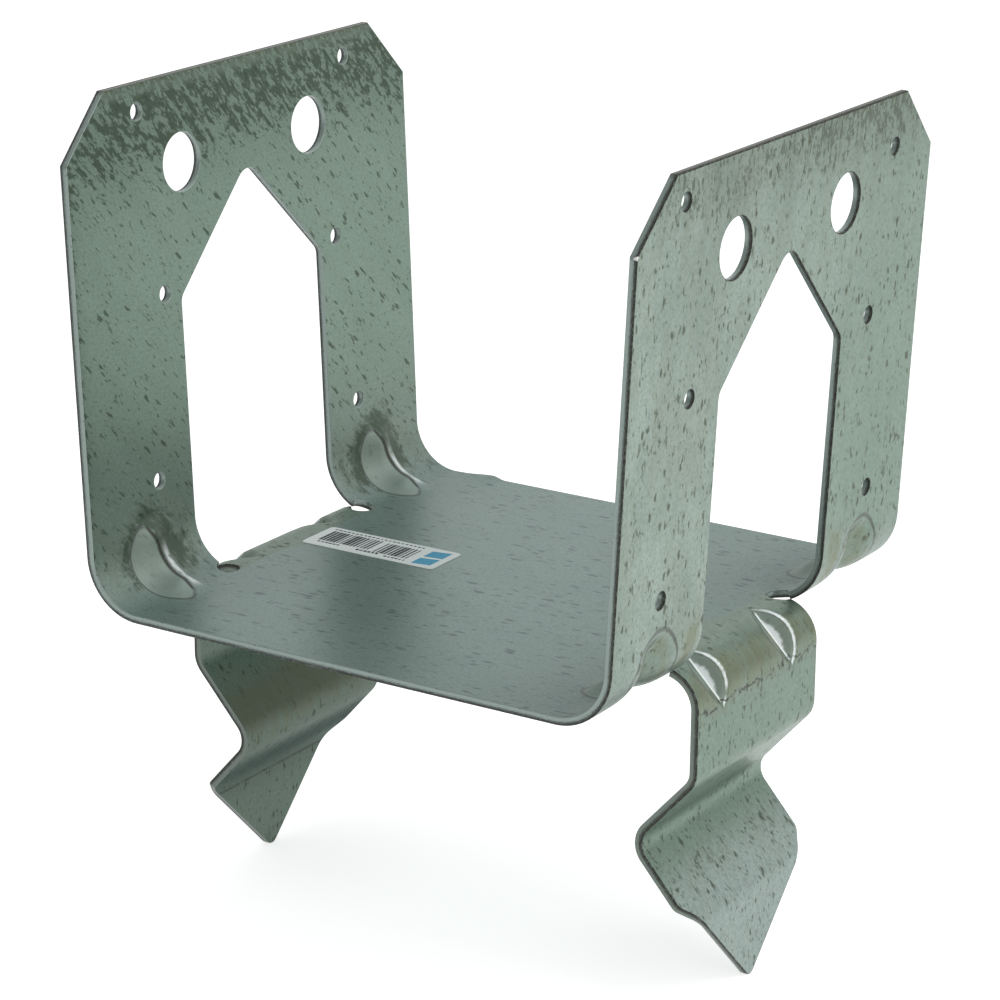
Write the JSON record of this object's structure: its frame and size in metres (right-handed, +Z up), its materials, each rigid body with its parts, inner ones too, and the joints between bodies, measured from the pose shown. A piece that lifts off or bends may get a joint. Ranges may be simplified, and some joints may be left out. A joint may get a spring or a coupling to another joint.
{
  "type": "post base",
  "caption": "Folded sheet-steel post base: a seat plate between two upright straps with pointed windows, and kinked legs folded down to cast into concrete.",
  "frame": {"origin": "centre of the seat plate's upper face, where the post's end stands", "axes": "+Z up along the post, X from the left upright to the right one, +Y along the folds and away from the front"},
  "size_m": [0.1554, 0.1374, 0.2067],
  "materials": {
    "galvanised_steel": "hot-dip galvanised, mottled, satin",
    "label_paper": "matt printed paper"
  },
  "bodies": {
    "root": {"folded_body": "galvanised_steel"}
  },
  "joints": []
}
